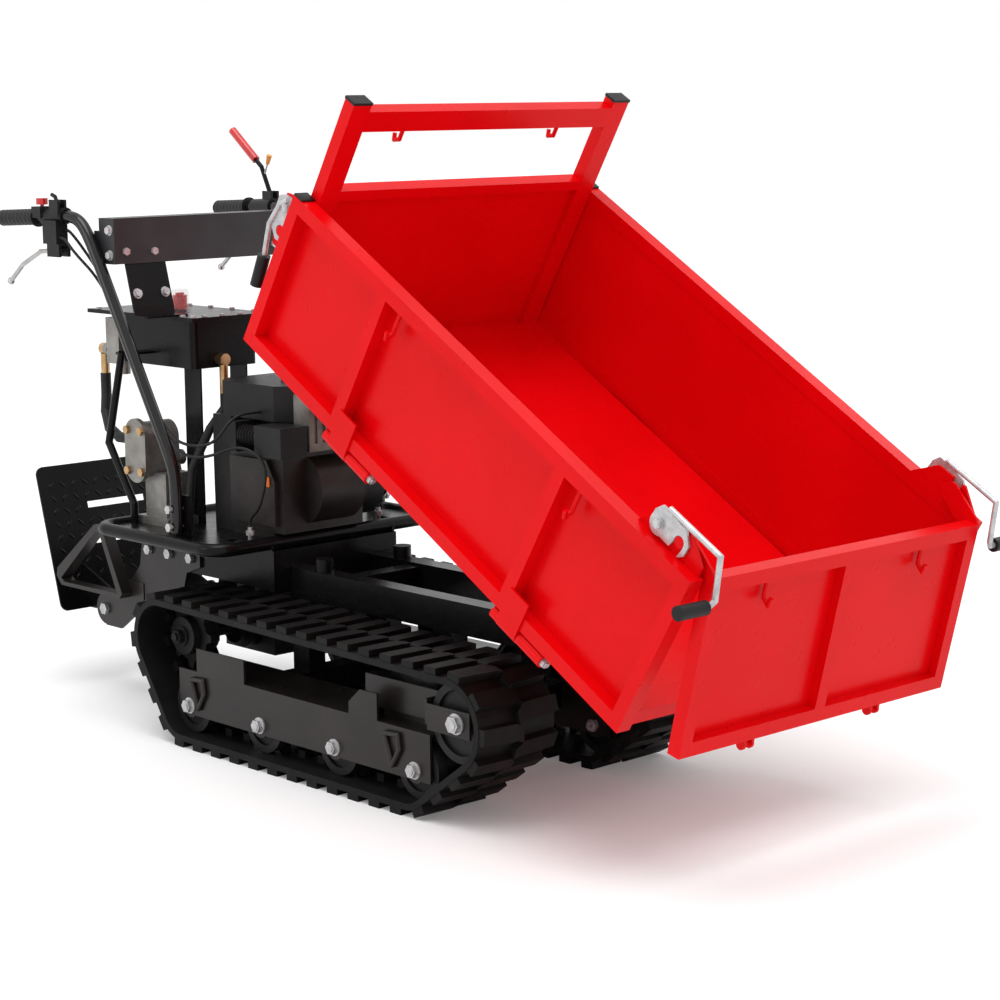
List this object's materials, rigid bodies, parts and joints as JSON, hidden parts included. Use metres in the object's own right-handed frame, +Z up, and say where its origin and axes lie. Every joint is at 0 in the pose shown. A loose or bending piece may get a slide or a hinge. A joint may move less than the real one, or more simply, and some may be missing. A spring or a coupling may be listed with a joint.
{
  "type": "tracked power carrier",
  "caption": "Walk-behind tracked power carrier: rubber belt tracks, engine deck with hydraulics and handlebar, tipping bed with drop sides, headboard and hinged tailgate.",
  "frame": {"origin": "on the ground, at the middle of the machine's overall length and width with the bed tipped as at rest", "axes": "+X forward to the dump end, +Y to the operator's left, +Z up"},
  "size_m": [2.1494, 0.85, 1.2649],
  "materials": {
    "red_paint": "gloss powder coat",
    "black_paint": "semi-gloss powder coat",
    "dark_paint": "semi-gloss powder coat",
    "graphite_paint": "satin powder coat",
    "track_rubber": "matt moulded rubber",
    "grip_rubber": "matt",
    "cast_steel": "painted casting",
    "engine_metal": "dark painted casting",
    "pump_metal": "bare casting",
    "muffler_steel": "heat-stained sheet",
    "zinc": "bright zinc plating",
    "chrome": "polished plating",
    "brass_parts": "bronze passivated",
    "black_plastic": "fine-grained moulding",
    "black_rod": "black bar",
    "red_plastic": "glossy moulding"
  },
  "bodies": {
    "chassis": {"main_frame": "black_paint", "engine_deck": "black_paint", "rear_side_plates": "dark_paint", "gearbox": "cast_steel", "track_frame_right": "dark_paint", "track_frame_left": "dark_paint", "track_belt_right": "track_rubber", "track_belt_left": "track_rubber", "idler_yokes": "dark_paint", "chassis_bolts": "zinc", "engine_block": "engine_metal", "engine_cowl": "black_plastic", "fuel_tank": "black_plastic", "air_cleaner": "black_plastic", "muffler": "muffler_steel", "hydraulic_pump": "pump_metal", "valve_block": "pump_metal", "oil_tank": "black_paint", "tank_lid": "black_paint", "filler_cap": "red_plastic", "hose_fittings": "brass_parts", "hydraulic_hoses": "grip_rubber", "control_cables": "grip_rubber", "stays": "black_paint", "handlebar_right": "graphite_paint", "handlebar_left": "graphite_paint", "console": "graphite_paint", "grips": "grip_rubber", "lever_perches": "black_plastic"},
    "sprocket_right": {"drive_sprocket_right": "cast_steel"},
    "sprocket_left": {"drive_sprocket_left": "cast_steel"},
    "idlers": {"idler_wheels": "cast_steel"},
    "rollers_1": {"road_rollers_1": "cast_steel"},
    "rollers_2": {"road_rollers_2": "cast_steel"},
    "rollers_3": {"road_rollers_3": "cast_steel"},
    "rollers_4": {"road_rollers_4": "cast_steel"},
    "clutch_right": {"clutch_lever_right": "chrome"},
    "clutch_left": {"clutch_lever_left": "chrome"},
    "stop_button": {"stop_knob": "red_plastic"},
    "throttle": {"throttle_lever": "black_plastic"},
    "drive_handle": {"drive_lever": "black_rod", "drive_lever_sleeve": "red_plastic"},
    "step_platform": {"platform": "black_paint"},
    "ram_barrel": {"tip_cylinder": "black_paint"},
    "ram_rod": {"tip_rod": "chrome"},
    "bed": {"bed_floor": "red_paint", "headboard": "red_paint", "headboard_caps": "black_plastic", "hinge_bolts": "zinc"},
    "wall_right": {"side_wall_right": "red_paint"},
    "wall_left": {"side_wall_left": "red_paint"},
    "gate": {"tailgate": "red_paint"},
    "front_latch_right": {"latch_front_right": "zinc", "latch_grip_front_right": "black_plastic"},
    "front_latch_left": {"latch_front_left": "zinc", "latch_grip_front_left": "black_plastic"},
    "rear_latch_right": {"latch_rear_right": "zinc", "latch_grip_rear_right": "black_plastic"},
    "rear_latch_left": {"latch_rear_left": "zinc", "latch_grip_rear_left": "black_plastic"}
  },
  "joints": [
    {"name": "bed_tip", "type": "hinge", "parent": "chassis", "child": "bed", "pos_m": [0.63405, 0, 0.338], "axis": [0, 1, 0], "range_deg": [-30.8, 0]},
    {"name": "ram_swing", "type": "hinge", "parent": "chassis", "child": "ram_barrel", "pos_m": [0.17855, 0, 0.172], "axis": [0, -1, 0], "range_deg": [-13.65, 0.2]},
    {"name": "ram_stroke", "type": "slide", "parent": "ram_barrel", "child": "ram_rod", "axis": [0.6509, 0, 0.7592], "range_m": [-0.10742, 0.0004]},
    {"name": "wall_right_fold", "type": "hinge", "parent": "bed", "child": "wall_right", "pos_m": [-0.07983, -0.3585, 0.81688], "axis": [0.859, 0, -0.512], "range_deg": [0, 90]},
    {"name": "wall_left_fold", "type": "hinge", "parent": "bed", "child": "wall_left", "pos_m": [-0.07983, 0.3585, 0.81688], "axis": [-0.859, 0, 0.512], "range_deg": [0, 90]},
    {"name": "gate_swing", "type": "hinge", "parent": "bed", "child": "gate", "pos_m": [0.98569, 0, 0.58591], "axis": [0, -1, 0], "range_deg": [-16.8, 60]},
    {"name": "front_latch_right_lift", "type": "hinge", "parent": "wall_right", "child": "front_latch_right", "pos_m": [0.94446, -0.347, 0.61049], "axis": [0, -1, 0], "range_deg": [0, 75]},
    {"name": "rear_latch_right_lift", "type": "hinge", "parent": "wall_right", "child": "rear_latch_right", "pos_m": [0.04293, -0.347, 1.06968], "axis": [0, 1, 0], "range_deg": [0, 75]},
    {"name": "front_latch_left_lift", "type": "hinge", "parent": "wall_left", "child": "front_latch_left", "pos_m": [0.94446, 0.347, 0.61049], "axis": [0, -1, 0], "range_deg": [0, 75]},
    {"name": "rear_latch_left_lift", "type": "hinge", "parent": "wall_left", "child": "rear_latch_left", "pos_m": [0.04293, 0.347, 1.06968], "axis": [0, 1, 0], "range_deg": [0, 75]},
    {"name": "drive_right_spin", "type": "hinge", "parent": "chassis", "child": "sprocket_right", "pos_m": [-0.44745, -0.226, 0.205], "axis": [0, 1, 0], "continuous": true},
    {"name": "drive_left_spin", "type": "hinge", "parent": "chassis", "child": "sprocket_left", "pos_m": [-0.44745, 0.226, 0.205], "axis": [0, 1, 0], "continuous": true},
    {"name": "idlers_spin", "type": "hinge", "parent": "chassis", "child": "idlers", "pos_m": [0.40555, 0, 0.185], "axis": [0, 1, 0], "continuous": true},
    {"name": "rollers_1_spin", "type": "hinge", "parent": "chassis", "child": "rollers_1", "pos_m": [-0.38145, 0, 0.08], "axis": [0, 1, 0], "continuous": true},
    {"name": "rollers_2_spin", "type": "hinge", "parent": "chassis", "child": "rollers_2", "pos_m": [-0.15645, 0, 0.08], "axis": [0, 1, 0], "continuous": true},
    {"name": "rollers_3_spin", "type": "hinge", "parent": "chassis", "child": "rollers_3", "pos_m": [0.06855, 0, 0.08], "axis": [0, 1, 0], "continuous": true},
    {"name": "rollers_4_spin", "type": "hinge", "parent": "chassis", "child": "rollers_4", "pos_m": [0.29355, 0, 0.08], "axis": [0, 1, 0], "continuous": true},
    {"name": "clutch_right_squeeze", "type": "hinge", "parent": "chassis", "child": "clutch_right", "pos_m": [-0.82145, -0.274, 0.958], "axis": [0, 1, 0], "range_deg": [0, 18], "stiffness_Nm_per_rad": 1.5, "springref_deg": -17.19},
    {"name": "clutch_left_squeeze", "type": "hinge", "parent": "chassis", "child": "clutch_left", "pos_m": [-0.82145, 0.274, 0.958], "axis": [0, 1, 0], "range_deg": [0, 18], "stiffness_Nm_per_rad": 1.5, "springref_deg": -17.19},
    {"name": "stop_press", "type": "slide", "parent": "chassis", "child": "stop_button", "axis": [0, 0, -1], "range_m": [0, 0.003], "stiffness_N_per_m": 600, "springref_m": -0.002},
    {"name": "throttle_turn", "type": "hinge", "parent": "chassis", "child": "throttle", "pos_m": [-0.81145, -0.274, 1.054], "axis": [0, 1, 0], "range_deg": [0, 55]},
    {"name": "drive_handle_turn", "type": "hinge", "parent": "chassis", "child": "drive_handle", "pos_m": [-0.81145, 0.274, 1.054], "axis": [0, -1, 0], "range_deg": [0, 35]},
    {"name": "platform_fold", "type": "hinge", "parent": "chassis", "child": "step_platform", "pos_m": [-0.85445, 0, 0.188], "axis": [0, -1, 0], "range_deg": [0, 74]}
  ],
  "couplings": [
    {"joint": "ram_swing", "follows": "bed_tip", "ratio": 0.43655},
    {"joint": "ram_stroke", "follows": "bed_tip", "m_per_rad": 0.19909},
    {"joint": "drive_left_spin", "follows": "drive_right_spin", "ratio": 1},
    {"joint": "idlers_spin", "follows": "drive_right_spin", "ratio": 0.94595},
    {"joint": "rollers_1_spin", "follows": "drive_right_spin", "ratio": 1.2727},
    {"joint": "rollers_2_spin", "follows": "drive_right_spin", "ratio": 1.2727},
    {"joint": "rollers_3_spin", "follows": "drive_right_spin", "ratio": 1.2727},
    {"joint": "rollers_4_spin", "follows": "drive_right_spin", "ratio": 1.2727}
  ]
}
